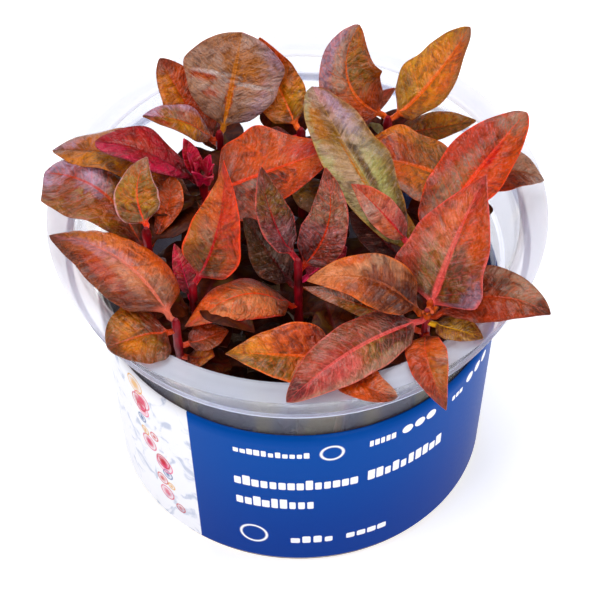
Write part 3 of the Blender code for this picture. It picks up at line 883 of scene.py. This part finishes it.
def bladeGrid(shoot, shape, s, t, seed):
    # the middle surface of a leaf, its normals and its half width, on a grid of s and t
    root = stemPoint(shoot, shape["at"])
    tip = np.array(shape["tip"], float)
    heading = unit((tip - root) * (1, 1, 0))
    start = root + heading * (leafMake["stemRadius"] + leafMake["stalkGap"])
    chord = unit(tip - start)
    side = unit(np.cross(chord, (0, 0, 1)))
    lift = np.cross(side, chord)
    control = start + (tip - start) * shape["peak"] + 2 * (shape["arch"] * lift + shape["bow"] * side)
    s, t = s[:, None, None], t[None, :, None]
    midrib = (1 - s) ** 2 * start + 2 * s * (1 - s) * control + s * s * tip
    along = unit((1 - s) * (control - start) + s * (tip - control))
    roll = math.radians(shape["roll"])
    across = math.cos(roll) * side + math.sin(roll) * lift
    across = unit(across - along * np.sum(across * along, axis=-1, keepdims=True))
    face = np.cross(across, along)
    left, right = shape["curl"]
    curl = np.radians(np.where(t > 0, right, left)) * np.abs(t) + 1e-6
    half = bladeWidth(shape, s)
    draws = np.random.default_rng(seed)
    phase = draws.uniform(0, 2 * math.pi, 6)
    # each half of the outline wanders a little
    wander = np.sin(9 * s + np.where(t > 0, phase[4], phase[5]))
    wander = wander + 0.6 * np.sin(21 * s + phase[0] * np.sign(t))
    reach = half * np.abs(t) * (1 + leafMake["uneven"] * wander * ease(s / 0.3) * ease((1 - s) / 0.25))
    length = np.linalg.norm(tip - start)
    turns = length / draws.uniform(11, 16)
    # wavy margins and a slow ripple over the blade
    margin = np.abs(t) ** 2.5 * np.sin(2 * math.pi * turns * s + np.where(t > 0, phase[0], phase[1]))
    ripple = np.sin(5.0 * s + 2.2 * t + phase[2]) * np.sin(3.1 * t + phase[3])
    fade = ease((s - 0.08) / 0.25) * ease((1 - s) / 0.12)
    wave = shape["wave"] * (half / 6) * (0.8 * margin + 0.35 * ripple) * fade
    up = reach * (1 - np.cos(curl)) / curl + wave
    points = midrib + across * np.sign(t) * reach * np.sin(curl) / curl + face * up
    rise, run = np.gradient(points, axis=0), np.gradient(points, axis=1)
    return points, unit(np.cross(run, rise)), half[..., 0], length, root, heading


def leafSheets(shoot, shape, s, t, seed):
    # upper and lower side of a leaf: sunken midrib and side veins above, a raised rib below
    points, normal, half, length, root, heading = bladeGrid(shoot, shape, s, t, seed)
    rows, columns = s[:, None], t[None, :]
    fromRib = np.abs(columns) * half
    spacing = min(leafMake["veinGap"], length / 6)
    phase = (rows * length - leafMake["veinSlant"] * fromRib ** 0.92) / spacing
    phase = phase + np.where(columns > 0, leafMake["veinStagger"], 0.0)
    toVein = np.abs((phase % 1) - 0.5) * 2
    blade = ease((half - 1.4) / 2.2)
    inner = ease((1 - np.abs(columns)) / 0.25) * ease(fromRib / 1.2)
    pillow = leafMake["pillow"] * (1 - toVein ** 3) * inner
    groove = leafMake["groove"] * np.exp(-(fromRib / 0.75) ** 2) * (1 - 0.55 * rows)
    relief = (pillow - groove) * blade
    stalk = 1 - ease((rows - 0.05) / 0.1)
    roundness = np.sqrt(np.clip(1 - columns ** 2, 0.04, 1))
    thin = leafMake["blade"] / 2 * (0.45 + 0.55 * ease((1 - np.abs(columns)) / 0.15))
    above = stalk * 0.55 * roundness + (1 - stalk) * thin
    rib = 0.5 * np.exp(-(fromRib / 0.7) ** 2) * (1 - 0.75 * rows) * (1 - stalk)
    top = points + normal * (relief + above)[..., None]
    bottom = points + normal * (relief * 0.8 - above - rib)[..., None]
    # the stalk runs on into the stem
    inside = (root + heading * 0.5) - points[0].mean(axis=0)
    top = np.concatenate([(top[0] + inside)[None], top])
    bottom = np.concatenate([(bottom[0] + inside)[None], bottom])
    return top, bottom


def leafSteps(grid):
    rows, columns = grid
    s = np.linspace(0, 1, rows)
    x = np.linspace(-1, 1, columns)
    return s, x * (0.42 + 0.58 * np.abs(x))


def addLeaf(parts, shoot, leaf, grid, seed, kind=0):
    shape = {**leafShape, **leaf}
    s, t = leafSteps(grid)
    top, bottom = leafSheets(shoot, shape, s, t, seed)
    parts.addBlade(top, bottom, np.concatenate([[0.0], s]), t, kind)


leafLook = dict(
    under="crimson",         # tone of the lower side
    # painted shade of the rosette near the stalk
    foot="wine",             # darkens the blade near the stalk
    shade="umber",           # large dark blotches
    shadeShare=0.4,
    glow="orange",           # warm flecks
    glowShare=0.22,
    dusk="moss",             # small dark spots
    duskShare=0.3,
    # gleam and threads are painted highlights in the sheen tone
    gleamShare=0.3,          # small pale spots of gloss
    highlightThreadShare=0.16,        # pale threads beside the side veins
    furrow="maroon",         # thin line in the midrib
    vivid=1.12,
    value=1.66,
    ribWide=0.06,            # half width of the midrib's colour, as a share of the leaf's half width
    cloudScale=0.12,         # sizes of the noises, from large to small
    blotchScale=0.27,
    mottleScale=0.85,
    fleckScale=3.0,
    streakScale=1.7,         # across the streaks that follow the side veins
    silkScale=2.5,
    # how far each noise darkens the blade, from its low end to its high end
    blotchDark=[(118, 106, 100), (226, 220, 216), (255, 255, 255)],
    silkDark=[(176, 160, 152), (242, 238, 235), (255, 255, 255)],
    fleckDark=[(200, 192, 188), (255, 255, 255)],
)


def leafSkin(name, shoot, leaf, seed):
    shape = {**leafShape, **leaf}
    look, c = Shader(name), leafLook
    place = look.millimetres()
    along, across = look.printPlace()
    under = look.maths("GREATER_THAN", along, 1.5)
    s = look.timesPlus(under, -2.0, along)
    t = look.timesPlus(across, 2.0, -1.0)
    out = look.size(t)
    cloud = look.noise(place, c["cloudScale"], 3, 1.0, seed * 3.1)
    blotch = look.noise(place, c["blotchScale"], 4, 1.6, seed * 5.3)
    mottle = look.noise(place, c["mottleScale"], 5, 0.8, seed)
    fleck = look.noise(place, c["fleckScale"], 3)
    length = float(np.linalg.norm(np.array(shape["tip"]) - stemPoint(shoot, shape["at"])))
    half = shape["wide"] / 2
    # fine streaks that run out along the side veins
    slant = look.times(look.maths("POWER", out, 0.92), -half * leafMake["veinSlant"])
    vein = look.timesPlus(s, length, slant)
    outward = look.times(t, half * 0.28)
    streakAt = look.combine(look.times(vein, c["streakScale"]), outward, seed * 1.7)
    streak = look.noise(streakAt, 1.0, 4, 0.6)
    silkAt = look.combine(look.times(vein, c["silkScale"]), outward, seed * 2.3)
    silk = look.noise(silkAt, 1.0, 3, 0.5)
    # the tones of both halves, then those toward the sides
    shifted = look.plus(s, look.span(blotch, -0.2, 0.2))
    shifted = look.plus(shifted, look.span(streak, -0.1, 0.1), clamp=True)
    halves = [look.ramp(shifted, shape[side].split()) for side in ("left", "right")]
    border = look.plus(t, look.span(blotch, -0.3, 0.3))
    tone = look.mix(look.step(border, -0.08, 0.08), *halves)
    if shape["rims"]:
        rimTone = look.mix(look.step(t, -0.05, 0.05), *(linear(rim) for rim in shape["rims"]))
        rimShare = look.step(look.plus(out, look.span(blotch, -0.4, 0.4)), 0.45, 0.95)
        tone = look.mix(look.times(rimShare, 0.75), tone, rimTone)
    # dark blotches, the painted sheen, then the listed patches
    tone = look.paint(tone, c["shade"], look.step(blotch, 0.52, 0.36), c["shadeShare"])
    # painted highlight: pale patches in the sheen tone stand in for gloss
    patch = look.times(look.step(cloud, 0.4, 0.68), shape["shine"])
    tone = look.paint(tone, shape["sheen"], patch)
    ragged = look.plus(look.span(blotch, -0.9, 0.9), look.span(streak, -0.5, 0.5))
    for markS, markT, reachS, reachT, markTone, share in shape["marks"]:
        offset = look.combine(look.timesPlus(s, 1 / reachS, -markS / reachS),
                              look.timesPlus(t, 1 / reachT, -markT / reachT))
        inside = look.step(look.plus(look.vector("LENGTH", offset), ragged), 1.3, 0.4)
        tone = look.paint(tone, markTone, inside, share)
    # flecks, spots, painted highlight threads and painted gloss spots, and the noises that darken the blade
    tone = look.paint(tone, c["glow"], look.step(mottle, 0.52, 0.7), c["glowShare"] * shape["warm"])
    tone = look.paint(tone, c["dusk"], look.step(mottle, 0.46, 0.3), c["duskShare"] * shape["crease"])
    highlightThread = look.times(look.step(silk, 0.52, 0.72), look.plus(patch, c["highlightThreadShare"]))
    tone = look.paint(tone, shape["sheen"], highlightThread)
    tone = look.paint(tone, shape["sheen"], look.step(look.plus(mottle, silk), 1.08, 1.3), c["gleamShare"])
    for noise, darks in ((blotch, "blotchDark"), (silk, "silkDark"), (fleck, "fleckDark")):
        tone = look.mix(1.0, tone, look.ramp(noise, c[darks]), "MULTIPLY")
    # net of small veins between the side veins
    netAt = look.combine(look.times(vein, 0.85), look.times(outward, 2.0), seed * 1.3)
    warped = look.vector("ADD", netAt, look.combine(mottle, blotch))
    cells = look.add("TexVoronoi", {"Vector": warped, "Scale": 1.0}, feature="DISTANCE_TO_EDGE")
    net = cells.outputs["Distance"]
    tone = look.paint(tone, shape["rib"], look.step(net, 0.14, 0.02), 0.14)
    tone = look.paint(tone, c["shade"], look.step(net, 0.2, 0.5), 0.12)
    # painted shade darkens the foot of the blade, then midrib with a thin furrow, side veins and edge
    deep = look.step(look.plus(s, look.span(blotch, -0.1, 0.1)), 0.4, 0.05)
    tone = look.paint(tone, c["foot"], deep, 0.55)
    spacing = min(leafMake["veinGap"], length / 6)
    stagger = look.times(look.maths("GREATER_THAN", t, 0.0), leafMake["veinStagger"])
    phase = look.plus(look.maths("DIVIDE", vein, spacing), stagger)
    fromMiddle = look.size(look.minus(look.maths("FRACT", phase), 0.5))
    veinLine = look.times(look.step(fromMiddle, 0.44, 0.497), look.step(out, 0.95, 0.3))
    tone = look.paint(tone, shape["rib"], veinLine, 0.2)
    ribWide = c["ribWide"] * shape["ribs"]
    fromRib = look.maths("DIVIDE", out, look.timesPlus(s, -0.75 * ribWide, ribWide))
    ribFade = look.times(look.step(fromRib, 1.2, 0.6), look.timesPlus(s, -0.5, 0.8))
    ribShare = look.maths("MAXIMUM", ribFade, look.step(s, 0.1, 0.04))
    tone = look.paint(tone, shape["rib"], ribShare)
    tone = look.paint(tone, c["furrow"], look.step(fromRib, 0.3, 0.08), 0.2)
    margin = look.step(look.plus(out, look.span(blotch, -0.16, 0.1)), 0.88, 0.98)
    tone = look.paint(tone, shape["edge"], margin, shape["seam"])
    tone = look.mix(under, tone, look.paint(tone, c["under"], 0.6))
    boost = {"Color": tone, "Saturation": c["vivid"], "Value": c["value"]}
    tone = look.add("HueSaturation", boost).outputs["Color"]
    height = look.times(look.step(net, 0.0, 0.3), 0.5 * shape["crease"])
    for noise, swell in ((mottle, 1.6 * shape["crease"]), (blotch, 5.0), (streak, 1.1), (silk, 0.3)):
        height = look.timesPlus(noise, swell, height)
    return look.finish(
        Base_Color=tone,
        Roughness=look.span(mottle, 0.22, 0.4),
        Specular_IOR_Level=0.4,
        Subsurface_Weight=0.05,
        Subsurface_Radius=(1.0, 0.3, 0.1),
        Subsurface_Scale=0.6 * mm,
        Coat_Weight=0.2,
        Coat_Roughness=0.16,
        Normal=look.bump(height, 0.27 * shape["crease"], 0.85),
    )


def makeLeaves():
    seed = 0
    for name, shoot in shoots.items():
        for number, leaf in enumerate(shoot["leaves"], 1):
            seed += 1
            grid = leafMake["broadGrid"] if leaf["wide"] >= leafMake["broad"] else leafMake["slimGrid"]
            title = f"leaf_{name}_{number}"
            parts = Parts()
            addLeaf(parts, shoot, leaf, grid, seed)
            piece = parts.build("fine_" + title, [leafSkin("skin_" + title, shoot, leaf, seed)], 50)
            stand(piece, title)
    print("leaves:", seed)


# Stems, with their small lower leaves and buds

stems = dict(
    low=8.3,
    radius=1.0,
    sides=14,
    rings=60,
    slender=0.84,            # between the swollen joints, as a share of the radius
    knot=0.16,               # how much the joints swell
    knotGap=9.0,
    lowerLeaves=15,
    lowerGrid=(20, 11),
    lowerFrom=28.0,
    lowerTo=4.0,             # the highest is this far under the top, unless the shoot has clear
    turn=137.5,              # from each small leaf to the next
    turnSpread=20,
    reach=(8.0, 17.0),
    least=4,                 # shorter ones are left off
    wallGap=3.5,
    wallTop=50,              # the wall is taken as upright above this
    sideRoom=2.4,            # keeps the sides of a leaf at the wall clear of it
    lowerWide=(6.0, 10.5),
    youngGrid=(18, 9),
    # young leaves round the top of a stem: how many, how far out, how high, how wide, which skin
    small=dict(count=4, reach=(1.2, 2.4), rise=(0.4, 1.6), wide=(0.9, 1.5), skin=2),
    pink=dict(count=6, reach=(1.0, 3.8), rise=(2.5, 5.5), wide=(2.0, 3.2), skin=3),
    seed=300,
)


def stemSkin():
    look = Shader("stem_skin")
    place = look.millimetres()
    blotch = look.noise(place, 0.25, 3, 0.5)
    fine = look.noise(look.vector("MULTIPLY", place, (3.0, 3.0, 0.5)), 1.0, 4)
    tone = look.ramp(blotch, ["wine", "maroon", "crimson", "crimson"])
    tone = look.paint(tone, "wine", fine, 0.35)
    return look.finish(Base_Color=tone, Roughness=look.span(fine, 0.25, 0.45), Specular_IOR_Level=0.25,
                       Normal=look.bump(fine, 0.12, 0.6))


def smallSkin(name, toneList, rib, shine=0.3):
    look = Shader(name)
    place = look.millimetres()
    out = look.size(look.timesPlus(look.printPlace()[1], 2.0, -1.0))
    blotch = look.noise(place, 0.3, 4, 0.8)
    fine = look.noise(place, 2.4, 4)
    tone = look.ramp(look.step(blotch, 0.3, 0.7), toneList.split())
    tone = look.paint(tone, "umber", fine, 0.4)
    tone = look.paint(tone, rib, look.step(out, 0.14, 0.04), 0.6)
    return look.finish(Base_Color=tone, Roughness=look.span(fine, 0.3, 0.55), Specular_IOR_Level=shine,
                       Normal=look.bump(look.plus(fine, blotch), 0.14, 0.6))


def addSmallLeaves(parts, shoot, seed):
    draws = np.random.default_rng(seed)
    top, c = shoot["top"][2], stems
    highest = top - shoot.get("clear", c["lowerTo"])
    turn = draws.uniform(0, 360)
    for k in range(c["lowerLeaves"]):
        turn += c["turn"] + draws.uniform(-c["turnSpread"], c["turnSpread"])
        height = c["lowerFrom"] + (highest - c["lowerFrom"]) * ((k + 0.5) / c["lowerLeaves"])
        reach = draws.uniform(*c["reach"])
        way = np.array([math.cos(math.radians(turn)), math.sin(math.radians(turn))])
        centre = stemPoint(shoot, height)
        end = centre[:2] + way * reach
        limit = wallRadius(min(height, c["wallTop"])) - c["wallGap"]
        far = np.linalg.norm(end)
        if far > limit:
            end *= limit / far
        if np.linalg.norm(end - centre[:2]) < c["least"]:
            continue
        if far > limit:
            end *= 1 - c["sideRoom"] / limit
        leaf = dict(at=height, tip=(*end, height + draws.uniform(-2, 4)), arch=draws.uniform(0.5, 2.0),
                    wide=draws.uniform(*c["lowerWide"]), roll=draws.uniform(-15, 15))
        addLeaf(parts, shoot, leaf, c["lowerGrid"], seed * 40 + k, 1)
    if "young" not in shoot:
        return
    crown = stemPoint(shoot, top)
    kind = c[shoot["young"]]
    for k in range(kind["count"]):
        angle = math.radians(360 * k / kind["count"] + draws.uniform(-25, 25))
        reach, rise = draws.uniform(*kind["reach"]), draws.uniform(*kind["rise"])
        tip = (crown[0] + math.cos(angle) * reach, crown[1] + math.sin(angle) * reach, top + rise)
        leaf = dict(at=top - 0.6, tip=tip, wide=draws.uniform(*kind["wide"]), arch=0.3, curl=(40, 40),
                    wave=0.1)
        addLeaf(parts, shoot, leaf, c["youngGrid"], seed * 40 + 20 + k, kind["skin"])


def makeStems():
    # the small lower leaves are dark: partly their own tone, partly painted shade of the crowded inside of
    # the cup
    skins = [stemSkin(), smallSkin("lower_leaves_painted_shade", "wine umber wine moss", "maroon", 0.12),
             smallSkin("bud_leaves", "rust orange brown maroon", "orange"),
             smallSkin("pink_leaves", "maroon magenta crimson rose", "rose")]
    for seed, (name, shoot) in enumerate(shoots.items(), stems["seed"]):
        parts = Parts()
        heights = np.linspace(stems["low"], shoot["top"][2], stems["rings"])
        centres = np.array([stemPoint(shoot, z) for z in heights])
        knots = np.exp(-(((heights - 3) % stems["knotGap"] - stems["knotGap"] / 2) / 0.9) ** 2)
        radii = stems["radius"] * (stems["slender"] + stems["knot"] * knots)
        radii[-1] *= 0.5
        parts.addTube(centres, radii, stems["sides"])
        addSmallLeaves(parts, shoot, seed)
        piece = parts.build("fine_stem_" + name, skins, 50)
        stand(piece, "stem_" + name)
    print("stems:", len(shoots))


# Growing gel

gel = dict(
    low=1.3,
    top=14.0,
    inset=1.3,               # from the outer side of the wall
    corner=1.2,              # cut off where the floor of the cup is rounded
    sunk=0.6,                # the level of the surface under its highest waves
    ripple=0.35,
    mound=0.45,              # round the foot of each stem
    moundWide=1.8,
    rings=40,
    segments=96,
)


def gelWithPaintedShade():
    look = Shader("gel_with_painted_shade")
    place = look.millimetres()
    cloud = look.noise(place, 0.12, 3, 0.5)
    bubble = look.add("TexVoronoi", {"Vector": place, "Scale": 0.8}).outputs["Distance"]
    spots = look.step(bubble, 0.22, 0.1)
    # the dark brown tones are painted shade of the cup's dark inside laid over the gel; the pale spots are
    # bubbles
    tone = look.ramp(cloud, [(64, 44, 30), (92, 66, 44), (120, 92, 64)])
    tone = look.paint(tone, (220, 212, 196), spots, 0.4)
    return look.finish(Base_Color=tone, Roughness=look.span(cloud, 0.15, 0.35), Transmission_Weight=0.45,
                       IOR=1.34, Normal=look.bump(look.plus(cloud, spots), 0.25, 0.5))


def makeGel():
    low, top = gel["low"], gel["top"]
    level = top - gel["sunk"]
    lowRadius, topRadius = wallRadius(low) - gel["inset"], wallRadius(top) - gel["inset"]
    crown = [(r, level) for r in np.linspace(0, topRadius, gel["rings"])]
    sideLevels = np.linspace(level, low + gel["corner"], 10)[1:]
    sides = [(lowRadius + (topRadius - lowRadius) * (z - low) / (top - low), z) for z in sideLevels]
    profile = crown + sides + [(lowRadius - gel["corner"], low), (0, low)]
    parts = Parts()
    parts.addTurned(profile, gel["segments"])
    points = np.array(parts.points)
    surface = points[:, 2] > level - 0.01
    x, y = points[surface, 0], points[surface, 1]
    swell = gel["ripple"] * np.sin(x * 0.31 + 1.2) * np.cos(y * 0.27 - 0.6)
    for shoot in shoots.values():
        away = np.hypot(x - shoot["foot"][0], y - shoot["foot"][1])
        swell += gel["mound"] * np.exp(-(away / gel["moundWide"]) ** 2)
    points[surface, 2] = np.minimum(points[surface, 2] + swell, top)
    parts.points = points.tolist()
    piece = weldPoints(parts.build("gelBed", [gelWithPaintedShade()], 60))
    stand(piece, "growing_gel")


# Floor and light

studio = dict(
    floorSize=6000,
    floor=(250, 250, 252),
    brightFloor=(252, 252, 253),
    sky=(0.95, 0.97, 1.0),
    skyStrength=0.2,
    floorGlow=0.5,
    lamps=dict(
        topBack=dict(place=(-60, 260, 800), size=420, watts=3.3, colour=(0.97, 0.97, 1.0)),
        keyLeft=dict(place=(-480, -380, 640), size=420, watts=2.5, colour=(1.0, 0.98, 0.95)),
        frontFill=dict(place=(300, -700, 420), size=400, watts=1.6, colour=(1.0, 1.0, 1.0)),
        sideRight=dict(place=(650, -80, 420), size=260, watts=1.0, colour=(0.97, 0.98, 1.0)),
    ),
)


def floorFinish():
    look = Shader("pale_floor")
    place = look.millimetres()
    soft = look.noise(place, 0.01, 2)
    tone = look.mix(look.span(soft, 0, 1), linear(studio["floor"]), linear(studio["brightFloor"]))
    return look.finish(Base_Color=tone, Roughness=0.7, Specular_IOR_Level=0.1,
                       Emission_Color=(1, 1, 1, 1), Emission_Strength=studio["floorGlow"])


def makeStudio():
    world = bpy.data.worlds.new("studio")
    bpy.context.scene.world = world
    world.use_nodes = True
    backdrop = world.node_tree.nodes["Background"]
    backdrop.inputs["Color"].default_value = (*studio["sky"], 1)
    backdrop.inputs["Strength"].default_value = studio["skyStrength"]
    bpy.ops.mesh.primitive_plane_add(size=studio["floorSize"] * mm, location=(0, 0, -0.05 * mm))
    floor = bpy.context.object
    floor.name = "floor"
    floor.data.materials.append(floorFinish())
    aim = Vector(camera["target"]) * mm
    for name, lamp in studio["lamps"].items():
        data = bpy.data.lights.new(name, "AREA")
        data.size, data.energy, data.color = lamp["size"] * mm, lamp["watts"], lamp["colour"]
        light = bpy.data.objects.new(name, data)
        light.location = Vector(lamp["place"]) * mm
        light.rotation_mode = "QUATERNION"
        light.rotation_quaternion = (aim - light.location).to_track_quat("-Z", "Y")
        bpy.context.scene.collection.objects.link(light)
    bpy.context.scene.view_settings.view_transform = "Standard"


makeCamera()
makeStudio()
print("camera and lights placed")
makeCup()
makeLabel()
makeGel()
print("cup, label and gel made")
makeStems()
makeLeaves()
